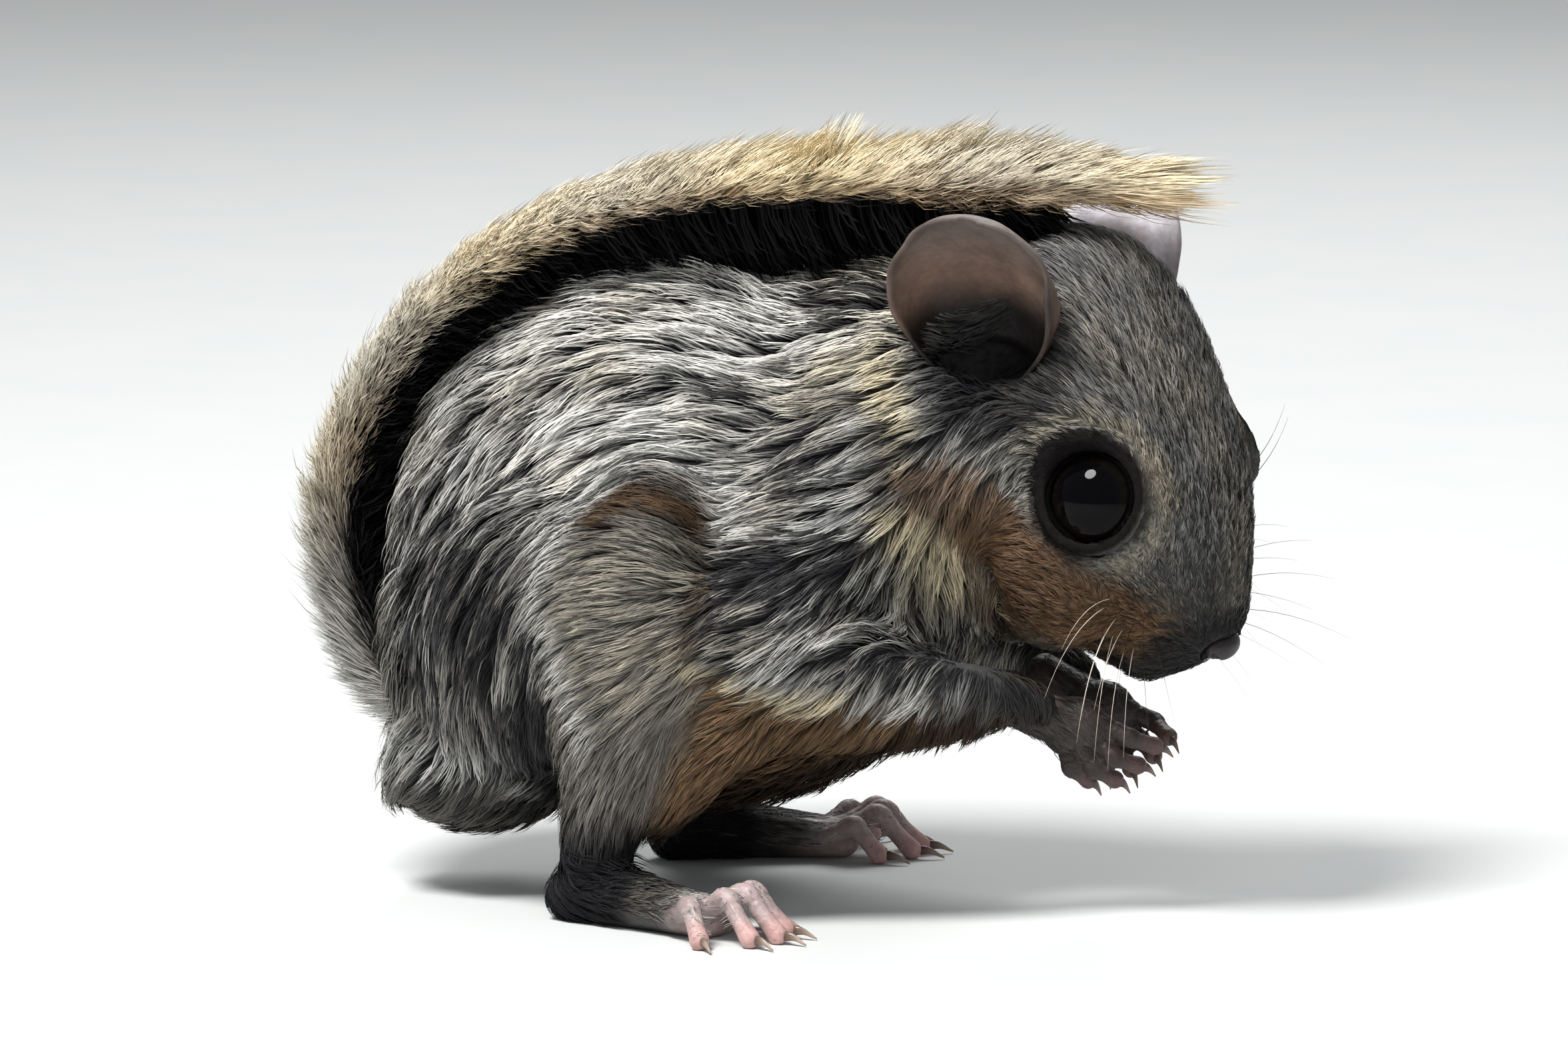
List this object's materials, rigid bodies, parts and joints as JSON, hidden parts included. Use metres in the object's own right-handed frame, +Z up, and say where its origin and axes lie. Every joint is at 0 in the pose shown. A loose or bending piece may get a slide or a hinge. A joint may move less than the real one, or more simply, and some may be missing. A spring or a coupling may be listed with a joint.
{
  "type": "flying squirrel",
  "caption": "Life-size flying squirrel crouched on its hind feet, hands held at its mouth, broad flat tail laid forward over its back.",
  "frame": {"origin": "on the floor, under the middle of the animal's bounding box", "axes": "+X the way the animal faces, +Y its left side, +Z up"},
  "size_m": [0.085, 0.0626, 0.0671],
  "materials": {
    "grey_fur": "soft dense fur",
    "buff_fur": "soft dense fur",
    "bare_skin": "fine bare skin",
    "toe_skin": "fine bare skin",
    "ear_skin": "thin smooth skin",
    "eye": "wet gloss",
    "nose_leather": "fine grained skin",
    "claw_horn": "smooth horn"
  },
  "bodies": {
    "root": {"torso": "grey_fur", "neck": "grey_fur", "head": "grey_fur", "jaw": "grey_fur", "nose": "nose_leather", "tail_base": "buff_fur", "tail_middle": "buff_fur", "tail_end": "buff_fur", "thigh_right": "grey_fur", "shank_right": "grey_fur", "foot_right": "toe_skin", "upper_arm_right": "grey_fur", "forearm_right": "grey_fur", "hand_right": "bare_skin", "membrane_right": "buff_fur", "ear_right": "ear_skin", "eye_right": "eye", "claw_hand_right_1": "claw_horn", "claw_hand_right_2": "claw_horn", "claw_hand_right_3": "claw_horn", "claw_hand_right_4": "claw_horn", "claw_foot_right_1": "claw_horn", "claw_foot_right_2": "claw_horn", "claw_foot_right_3": "claw_horn", "claw_foot_right_4": "claw_horn", "claw_foot_right_5": "claw_horn", "thigh_left": "grey_fur", "shank_left": "grey_fur", "foot_left": "toe_skin", "upper_arm_left": "grey_fur", "forearm_left": "grey_fur", "hand_left": "bare_skin", "membrane_left": "buff_fur", "ear_left": "ear_skin", "eye_left": "eye", "claw_hand_left_1": "claw_horn", "claw_hand_left_2": "claw_horn", "claw_hand_left_3": "claw_horn", "claw_hand_left_4": "claw_horn", "claw_foot_left_1": "claw_horn", "claw_foot_left_2": "claw_horn", "claw_foot_left_3": "claw_horn", "claw_foot_left_4": "claw_horn", "claw_foot_left_5": "claw_horn"}
  },
  "joints": []
}
